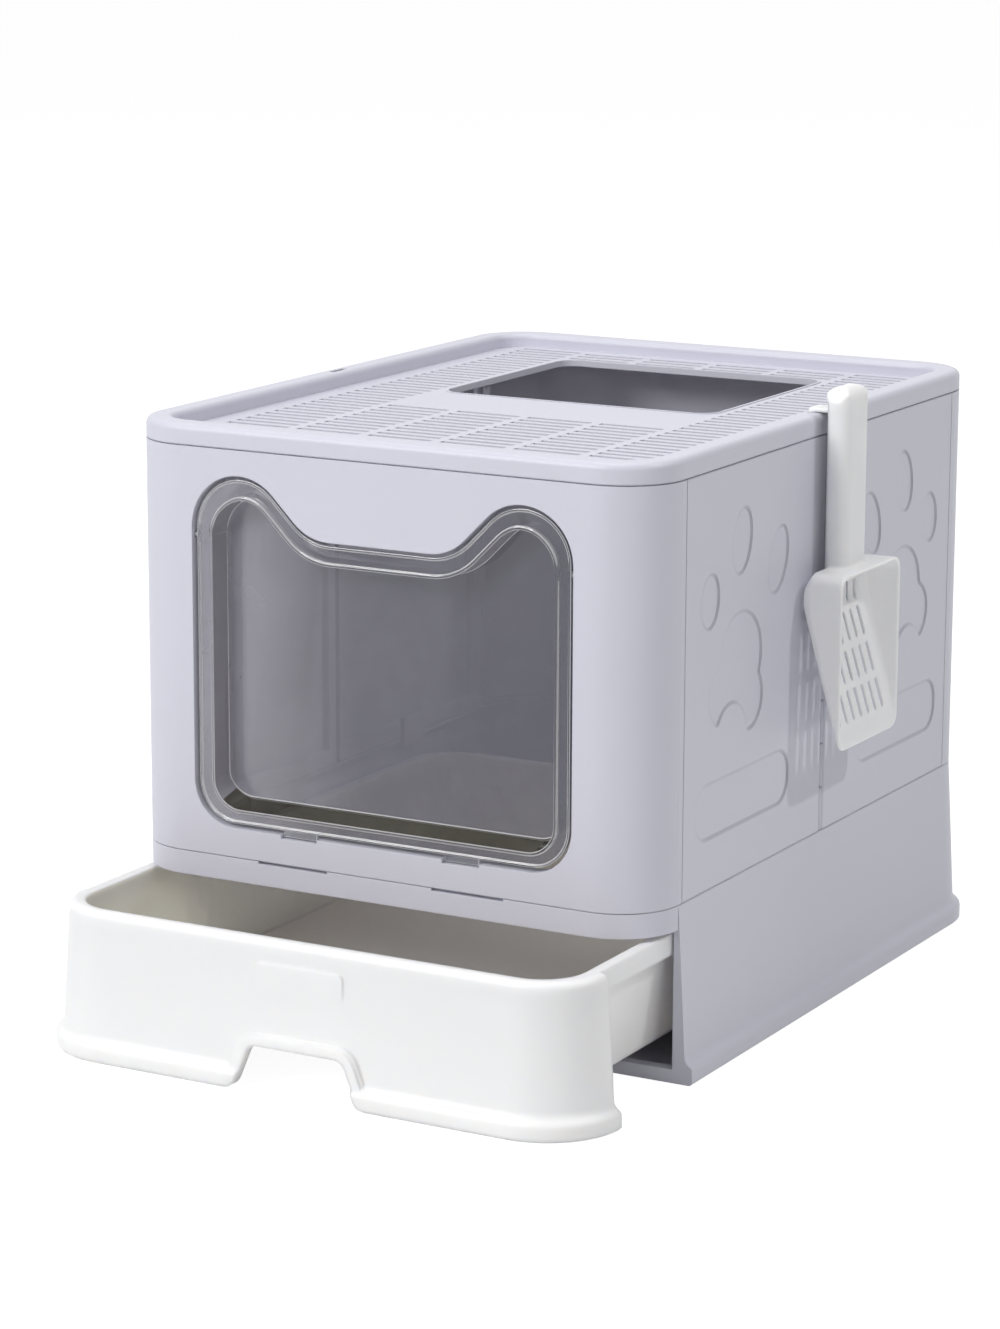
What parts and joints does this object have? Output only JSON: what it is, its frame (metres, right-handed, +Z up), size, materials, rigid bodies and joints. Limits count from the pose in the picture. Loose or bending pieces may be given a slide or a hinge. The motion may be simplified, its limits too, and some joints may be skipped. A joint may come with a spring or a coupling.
{
  "type": "drawer litter box",
  "caption": "Folding enclosed cat litter box with a pull-out litter drawer, a clear swing door, a slotted lid with a way in and a hanging scoop.",
  "frame": {"origin": "centre of the base's underside, on the floor", "axes": "+Z up, -Y out of the front with the drawer, +X to the right of a viewer in front"},
  "size_m": [0.4315, 0.626, 0.42],
  "materials": {
    "grey_plastic": "satin",
    "white_plastic": "satin",
    "smoked_plastic": "gloss",
    "pin_steel": "brushed"
  },
  "bodies": {
    "base": {"base_shell": "grey_plastic", "front_panel": "grey_plastic", "front_right_hinge_pin": "pin_steel", "front_left_hinge_pin": "pin_steel"},
    "right_front_wall": {"right_front_panel": "grey_plastic", "right_fold_pin": "pin_steel"},
    "right_rear_wall": {"right_rear_panel": "grey_plastic"},
    "rear_wall": {"rear_panel": "grey_plastic", "rear_right_hinge_pin": "pin_steel", "rear_left_hinge_pin": "pin_steel"},
    "left_front_wall": {"left_front_panel": "grey_plastic", "left_fold_pin": "pin_steel"},
    "left_rear_wall": {"left_rear_panel": "grey_plastic"},
    "lid": {"lid": "grey_plastic"},
    "door": {"front_door": "smoked_plastic"},
    "drawer": {"litter_drawer": "white_plastic"},
    "scoop": {"scoop": "white_plastic"}
  },
  "joints": [
    {"name": "drawer_slide", "type": "slide", "parent": "base", "child": "drawer", "axis": [0, -1, 0], "range_m": [-0.095, 0.25]},
    {"name": "door_swing", "type": "hinge", "parent": "base", "child": "door", "pos_m": [0, -0.2495, 0.329], "axis": [-1, 0, 0], "range_deg": [0, 85]},
    {"name": "lid_lift", "type": "slide", "parent": "base", "child": "lid", "axis": [0, 0, 1], "range_m": [0, 0.3]},
    {"name": "scoop_lift", "type": "slide", "parent": "lid", "child": "scoop", "axis": [0, 0, 1], "range_m": [0, 0.15]},
    {"name": "wall_fold", "type": "hinge", "parent": "base", "child": "right_front_wall", "pos_m": [0.18815, -0.208, 0.25], "axis": [0, 0, 1], "range_deg": [0, 60]},
    {"name": "right_mid_fold", "type": "hinge", "parent": "right_front_wall", "child": "right_rear_wall", "pos_m": [0.19145, 0, 0.25], "axis": [0, 0, 1], "range_deg": [-120, 0]},
    {"name": "rear_wall_fold", "type": "hinge", "parent": "right_rear_wall", "child": "rear_wall", "pos_m": [0.18815, 0.208, 0.25], "axis": [0, 0, 1], "range_deg": [0, 60]},
    {"name": "left_wall_fold", "type": "hinge", "parent": "base", "child": "left_front_wall", "pos_m": [-0.18815, -0.208, 0.25], "axis": [0, 0, 1], "range_deg": [-60, 0]},
    {"name": "left_mid_fold", "type": "hinge", "parent": "left_front_wall", "child": "left_rear_wall", "pos_m": [-0.19145, 0, 0.25], "axis": [0, 0, 1], "range_deg": [0, 120]}
  ],
  "couplings": [
    {"joint": "right_mid_fold", "follows": "wall_fold", "ratio": -2},
    {"joint": "rear_wall_fold", "follows": "wall_fold", "ratio": 1},
    {"joint": "left_wall_fold", "follows": "wall_fold", "ratio": -1},
    {"joint": "left_mid_fold", "follows": "wall_fold", "ratio": 2}
  ]
}
